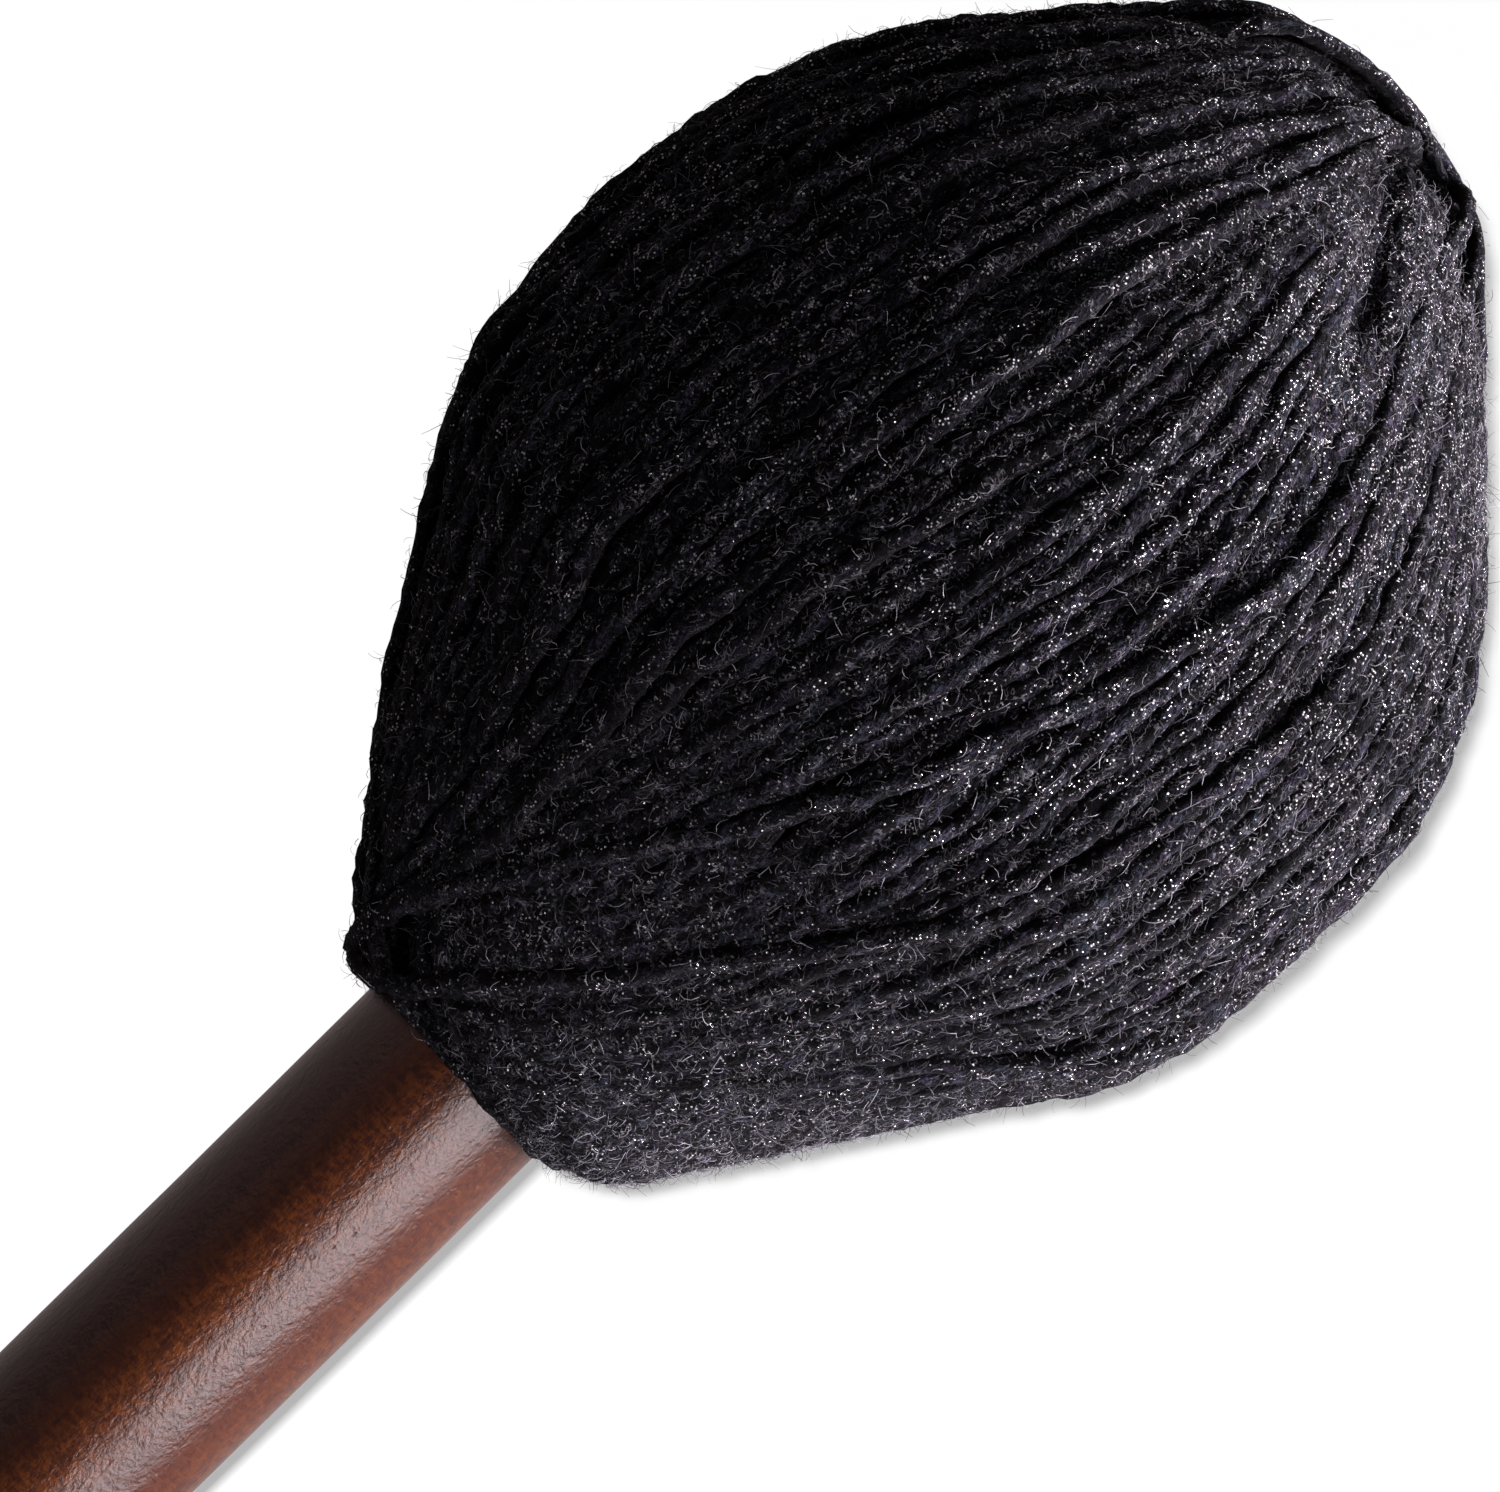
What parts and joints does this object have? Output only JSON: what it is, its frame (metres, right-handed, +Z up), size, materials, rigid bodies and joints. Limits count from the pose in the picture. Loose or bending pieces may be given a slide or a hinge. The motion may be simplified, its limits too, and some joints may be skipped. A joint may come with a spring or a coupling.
{
  "type": "gong mallet",
  "caption": "Large padded striker: a plain stained wooden handle with a weighted, yarn-wound head shaped like a blunt double cone, for sounding a gong.",
  "frame": {"origin": "middle of the object's box, on the level surface that the mallet rests on", "axes": "+X from the butt of the handle to the crown of the head, +Z up; the mallet's own axis climbs 7.6 degrees towards the head"},
  "size_m": [0.3926, 0.111, 0.1102],
  "materials": {
    "stained_hardwood": "dark brown stain under a satin varnish, fine lengthwise grain with small pores and dents",
    "charcoal_yarn": "thick fuzzy plied yarn, charcoal with a faint violet cast and pale stray fibres",
    "grey_felt": "dense pressed wool felt",
    "cream_fleece": "soft curly fleece",
    "dark_steel": "turned mild steel, lightly oiled",
    "zinc_plated_steel": "bright zinc plating",
    "black_rubber": "matt moulded rubber sheet",
    "plain_maple": "bare turned maple",
    "birch_plywood": "bare plywood with layered edge"
  },
  "bodies": {
    "root": {"handle": "stained_hardwood", "handle_stud": "dark_steel", "base_disc": "birch_plywood", "base_cushion": "black_rubber", "steel_weight": "dark_steel", "core_block": "plain_maple", "clamp_washer": "zinc_plated_steel", "lock_washer": "dark_steel", "hex_nut": "zinc_plated_steel", "base_pad": "grey_felt", "core_wrap": "grey_felt", "crown_pad": "grey_felt", "fleece_cover": "cream_fleece", "yarn_body": "charcoal_yarn", "yarn_winding": "charcoal_yarn", "crown_stitch": "charcoal_yarn", "anchor_tie": "charcoal_yarn"}
  },
  "joints": []
}
